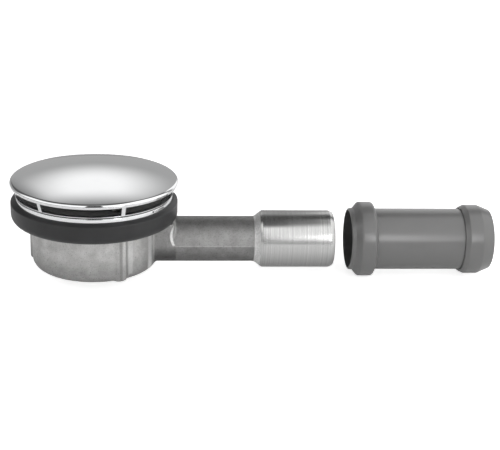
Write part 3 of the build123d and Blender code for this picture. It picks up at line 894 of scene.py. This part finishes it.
# A round studio tent stands over the part. Headings are degrees from straight behind the part, towards the
# outlet side, and heights are degrees above the cover. Its radius, middle and eye are in metres.
tent = {
    "radius": 0.64, "middle": (0.04, 0.0), "eye": (0.0, 0.0, 0.065), "columns": 240, "rows": 90,
    "rear": 0.41, "ceiling": 0.12, "ceilingFrom": 37, "ceilingTo": 56,
    "glowHeading": -3, "glowHeight": 35, "glowSize": 16, "glowFrom": 0.4, "glowTo": 1.6, "glow": 0.70,
    "frontLow": 0.95, "front": 1.3, "frontFrom": 8, "frontTo": 15, "frontEnd": 54, "frontSoft": 12,
    "frontSideFrom": 58, "frontSideTo": 78, "frontFoot": 0.6, "frontFootFrom": 3, "frontFootTo": 9,
    "sideDrop": 14, "dropFrom": -140, "dropTo": -90, "foot": 0.6, "footFrom": -7, "footTo": -2,
    "leftShare": 0.9, "rightShare": 1.05, "shareFrom": -0.9, "shareTo": 0.6,
    "right": 1.35, "rightFrom": 58, "rightTo": 76, "rightEnd": 110, "rightGone": 135,
    "key": 7.0, "keyHeading": 146, "keyHalf": 5, "keyLow": 6, "keyHigh": 24, "keySoft": 2,
    "slotLevel": 0.01, "slotHeading": 177.8, "slotHalf": 11.5, "slotHeight": 31, "slotTall": 24,
    "slotSoft": 1, "curtain": 0.1, "curtainFrom": 18, "curtainTo": 28, "curtainShift": 12, "curtainLow": 5,
    "curtainHigh": 20, "backlight": 1.15, "backlightHeading": 39, "backlightHalf": 13, "backlightHigh": 33,
    "backlightSoft": 4,
}
stage = {
    "floorHalf": 6.0, "floorColour": (0.9, 0.9, 0.9, 1), "floorRoughness": 0.9, "floorSpecular": 0.1,
    "floorLift": 0.15, "cameraLift": 0.6, "worldLevel": 0.6,
}


def softStep(value, low, high):
    t = np.clip((value - low) / (high - low), 0, 1)
    return t * t * (3 - 2 * t)


def within(distance, half, soft):
    # 1 inside half and 0 outside it, with a soft edge
    return 1 - softStep(distance, half - soft, half + soft)


def blend(level, other, share):
    return level + (other - level) * share


def rearLevel(heading, height):
    # grey with one round glow, darker upwards, a dark curtain on both sides and a bright strip in one of them
    t = tent
    away = np.hypot(heading - t["glowHeading"], height - t["glowHeight"]) / t["glowSize"]
    level = t["rear"] + t["glow"] * (1 - softStep(away, t["glowFrom"], t["glowTo"]))
    level = blend(level, t["ceiling"], softStep(height, t["ceilingFrom"], t["ceilingTo"]))
    aside = np.abs(heading) - t["curtainShift"] * (heading > 0)
    hung = softStep(aside, t["curtainFrom"], t["curtainTo"])
    level = blend(level, t["curtain"], hung * softStep(height, t["curtainLow"], t["curtainHigh"]))
    strip = within(np.abs(heading - t["backlightHeading"]), t["backlightHalf"], t["backlightSoft"])
    return blend(level, t["backlight"], strip * within(height, t["backlightHigh"], t["backlightSoft"]))


def frontLevel(heading, height, gone):
    # bright up to where it is gone, and less so on the left and at the foot
    t = tent
    level = blend(t["frontLow"], t["front"], softStep(height, t["frontFrom"], t["frontTo"]))
    level = blend(level, t["ceiling"], gone)
    side = softStep(np.sin(np.radians(heading)), t["shareFrom"], t["shareTo"])
    level = level * blend(t["leftShare"], t["rightShare"], side)
    return level * blend(t["frontFoot"], 1, softStep(height, t["frontFootFrom"], t["frontFootTo"]))


def tentLevel(heading, height):
    # brightness of the tent seen from the cover, with a bright right side, a key lamp and a dark slot
    t = tent
    end = t["frontEnd"] - t["sideDrop"] * softStep(heading, t["dropFrom"], t["dropTo"]) * (heading < 0)
    gone = softStep(height, end, end + t["frontSoft"])
    toFront = softStep(np.abs(heading), t["frontSideFrom"], t["frontSideTo"])
    level = blend(rearLevel(heading, height), frontLevel(heading, height, gone), toFront)
    right = softStep(heading, t["rightFrom"], t["rightTo"]) - softStep(heading, t["rightEnd"], t["rightGone"])
    level = blend(level, t["right"], right * (1 - gone))
    key = within(np.abs(heading - t["keyHeading"]), t["keyHalf"], t["keySoft"])
    key = key * (within(height, t["keyHigh"], t["keySoft"]) - within(height, t["keyLow"], t["keySoft"]))
    level = blend(level, t["key"], key)
    level = level * blend(t["foot"], 1, softStep(height, t["footFrom"], t["footTo"]))
    around = np.abs((heading - t["slotHeading"] + 180) % 360 - 180)
    slot = within(around, t["slotHalf"], t["slotSoft"])
    slot = slot * within(np.abs(height - t["slotHeight"]), t["slotTall"], t["slotSoft"])
    return blend(level, t["slotLevel"], slot)


def stageMaterial(name):
    material = bpy.data.materials.new(name)
    material.use_nodes = True
    material.cycles.emission_sampling = "NONE"
    return material


def buildTent():
    # half ball: (radius cos(height) sin(heading), radius cos(height) cos(heading), radius sin(height))
    t = tent
    heading = np.linspace(0, 2 * math.pi, t["columns"], endpoint=False)
    height = np.linspace(0, math.pi / 2, t["rows"])[:, None]
    x = t["middle"][0] + t["radius"] * np.cos(height) * np.sin(heading)
    y = t["middle"][1] + t["radius"] * np.cos(height) * np.cos(heading)
    z = floorDrop + t["radius"] * np.sin(height) + 0 * heading
    points = np.stack([x, y, z], -1).reshape(-1, 3)
    mesh = meshFromArrays("studioTent", points / mm, gridFaces(t["rows"], t["columns"], False, True))
    away = points - np.array(t["eye"])
    seenHeading = np.degrees(np.arctan2(away[:, 0], away[:, 1]))
    seenHeight = np.degrees(np.arctan2(away[:, 2], reachOf(away)))
    level = mesh.attributes.new("level", "FLOAT", "POINT")
    level.data.foreach_set("value", tentLevel(seenHeading, seenHeight).astype(np.float32))
    mesh.shade_smooth()
    material = stageMaterial("studioTent")
    tree = material.node_tree
    tree.nodes.clear()
    paths = tree.nodes.new("ShaderNodeLightPath")
    glow = tree.nodes.new("ShaderNodeEmission")
    clear = tree.nodes.new("ShaderNodeBsdfTransparent")
    either = tree.nodes.new("ShaderNodeMixShader")
    result = tree.nodes.new("ShaderNodeOutputMaterial")
    read = tree.nodes.new("ShaderNodeAttribute")
    read.attribute_name = "level"
    feed(tree, read.outputs["Fac"], glow.inputs["Strength"])
    feed(tree, paths.outputs["Is Camera Ray"], either.inputs[0])
    feed(tree, glow.outputs[0], either.inputs[1])
    feed(tree, clear.outputs[0], either.inputs[2])
    feed(tree, either.outputs[0], result.inputs["Surface"])
    mesh.materials.append(material)
    placeObject("studioTent", mesh)


def whiteRays(tree):
    # 1 for camera, glossy and transmission rays, so that the background shows white in metal and glass too
    paths = tree.nodes.new("ShaderNodeLightPath")
    either = mathNode(tree, "MAXIMUM", paths.outputs["Is Camera Ray"], paths.outputs["Is Glossy Ray"])
    return paths, mathNode(tree, "MAXIMUM", either, paths.outputs["Is Transmission Ray"])


def buildWorld():
    world = bpy.data.worlds.new("studioWorld")
    bpy.context.scene.world = world
    world.use_nodes = True
    tree = world.node_tree
    background = tree.nodes["Background"]
    _, white = whiteRays(tree)
    background.inputs["Color"].default_value = (1, 1, 1, 1)
    feed(tree, spread(tree, white, 0, 1, stage["worldLevel"], 1.0), background.inputs["Strength"])


def buildFloor():
    s = stage
    half = s["floorHalf"]
    mesh = bpy.data.meshes.new("paleFloor")
    corners = [(x, y, floorDrop) for x, y in ((-half, -half), (half, -half), (half, half), (-half, half))]
    mesh.from_pydata(corners, [], [(0, 1, 2, 3)])
    material = stageMaterial("paleFloor")
    tree = material.node_tree
    shader = tree.nodes["Principled BSDF"]
    shader.inputs["Base Color"].default_value = s["floorColour"]
    shader.inputs["Roughness"].default_value = s["floorRoughness"]
    shader.inputs["Specular IOR Level"].default_value = s["floorSpecular"]
    paths, white = whiteRays(tree)
    lift = mathNode(tree, "MULTIPLY", white, s["floorLift"])
    lift = mathNode(tree, "MULTIPLY_ADD", paths.outputs["Is Camera Ray"], s["cameraLift"], lift)
    shader.inputs["Emission Color"].default_value = (1, 1, 1, 1)
    feed(tree, lift, shader.inputs["Emission Strength"])
    mesh.materials.append(material)
    placeObject("paleFloor", mesh)


buildTent()
buildWorld()
buildFloor()
bpy.context.scene.view_settings.view_transform = "Standard"
print("camera, lights and floor placed")
